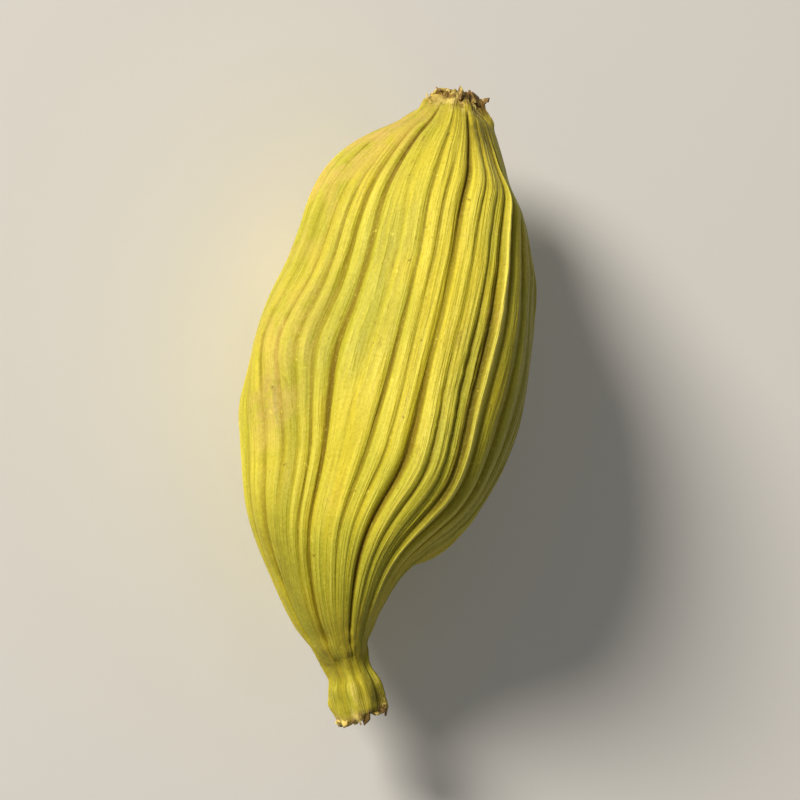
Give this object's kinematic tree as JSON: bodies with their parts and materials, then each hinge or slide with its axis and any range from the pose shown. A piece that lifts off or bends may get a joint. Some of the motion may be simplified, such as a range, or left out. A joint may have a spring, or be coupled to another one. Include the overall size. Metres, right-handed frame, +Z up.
{
  "type": "green cardamom pod",
  "caption": "Whole dried green cardamom pod: a three-sided ribbed husk, closed, with a rough stalk scar at its rounded end and a slim bent beak that ends in a small hollow collar.",
  "frame": {"origin": "on the surface that the pod lies on, under the middle of its bounding box", "axes": "+X along the pod, from the stalk scar to the beak; +Z up from the surface, through the top ridge; +Y to the side that the beak hooks back to"},
  "size_m": [0.019, 0.0082, 0.0077],
  "materials": {
    "husk": "dry yellow-green plant husk, satin, with paler rib crests, olive-brown grooves and tan dry ends"
  },
  "bodies": {
    "root": {"cardamom_pod": "husk"}
  },
  "joints": []
}
